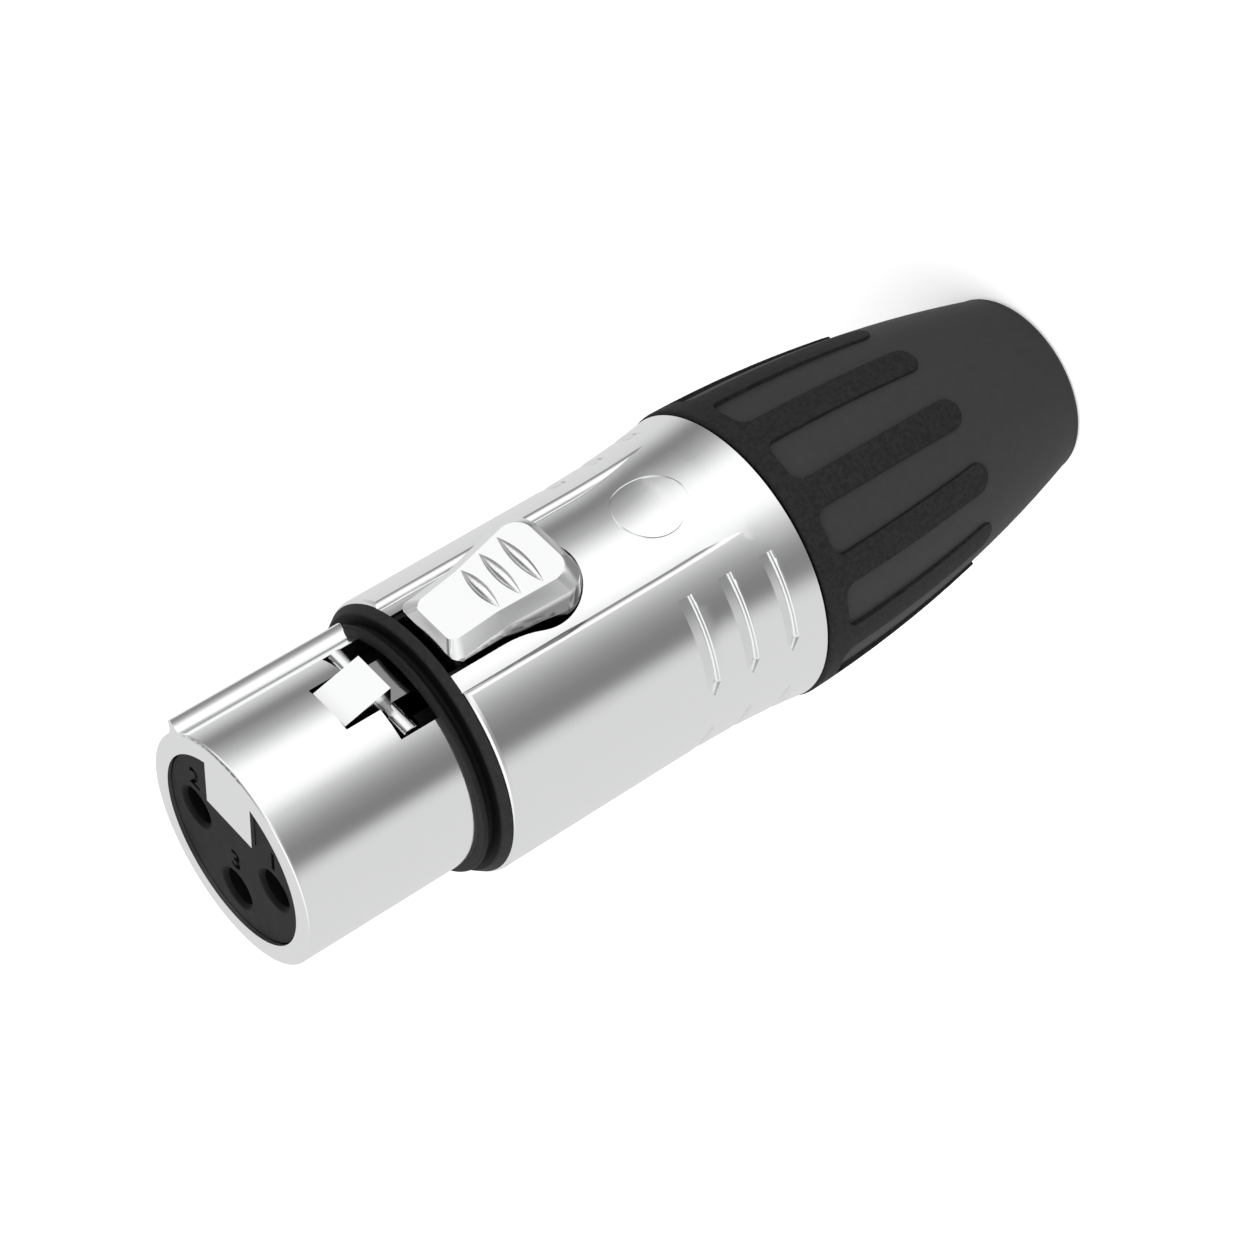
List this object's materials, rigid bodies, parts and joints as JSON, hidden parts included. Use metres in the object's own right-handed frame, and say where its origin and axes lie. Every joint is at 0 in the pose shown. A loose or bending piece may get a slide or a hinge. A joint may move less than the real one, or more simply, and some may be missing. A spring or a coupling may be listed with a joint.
{
  "type": "female xlr cable connector",
  "caption": "Round female XLR cable connector with three sockets, a sprung push-button latch, a damping ring and a screw-on boot with a ribbed rubber grip.",
  "frame": {"origin": "centre of the cable hole in the boot's rear end face, which stands on the floor", "axes": "+Z along the connector's axis from the boot to the mating face; -Y towards the latch button; +X towards contact 2"},
  "size_m": [0.0208, 0.0222, 0.0656],
  "materials": {
    "nickel": "bright nickel plate on a zinc casting",
    "black_plastic": "fine moulded plastic",
    "ring_rubber": "satin rubber",
    "grip_rubber": "matt grained rubber",
    "boot_plastic": "smooth dark grey plastic",
    "chuck_plastic": "satin plastic",
    "contact_gold": "gold-plated bronze",
    "spring_steel": "bright spring steel"
  },
  "bodies": {
    "housing": {"shell": "nickel", "damping_ring": "ring_rubber", "latch_pivot_pin": "spring_steel", "latch_spring": "spring_steel", "contact_insert": "black_plastic", "contact_retainer": "black_plastic", "ground_contact": "spring_steel", "contact_1": "contact_gold", "contact_2": "contact_gold", "contact_3": "contact_gold"},
    "latch": {"latch_lever": "nickel", "latch_cross_pin": "nickel"},
    "chuck": {"cable_chuck": "chuck_plastic"},
    "boot": {"boot_body": "boot_plastic", "boot_grip": "grip_rubber"}
  },
  "joints": [
    {"name": "latch_press", "type": "hinge", "parent": "housing", "child": "latch", "pos_m": [0, -0.0064, 0.038], "axis": [-1, 0, 0], "range_deg": [0, 3.4], "stiffness_Nm_per_rad": 0.2, "springref_deg": -8.59, "deforming": ["latch_spring"]},
    {"name": "chuck_slide", "type": "slide", "parent": "housing", "child": "chuck", "axis": [0, 0, -1], "range_m": [0, 0.0056]},
    {"name": "boot_turn", "type": "hinge", "parent": "chuck", "child": "boot", "pos_m": [0, 0, 0.0206], "axis": [0, 0, -1], "range_deg": [0, 1980]}
  ],
  "couplings": [
    {"joint": "chuck_slide", "follows": "boot_turn", "m_per_rad": 0.00015915}
  ]
}
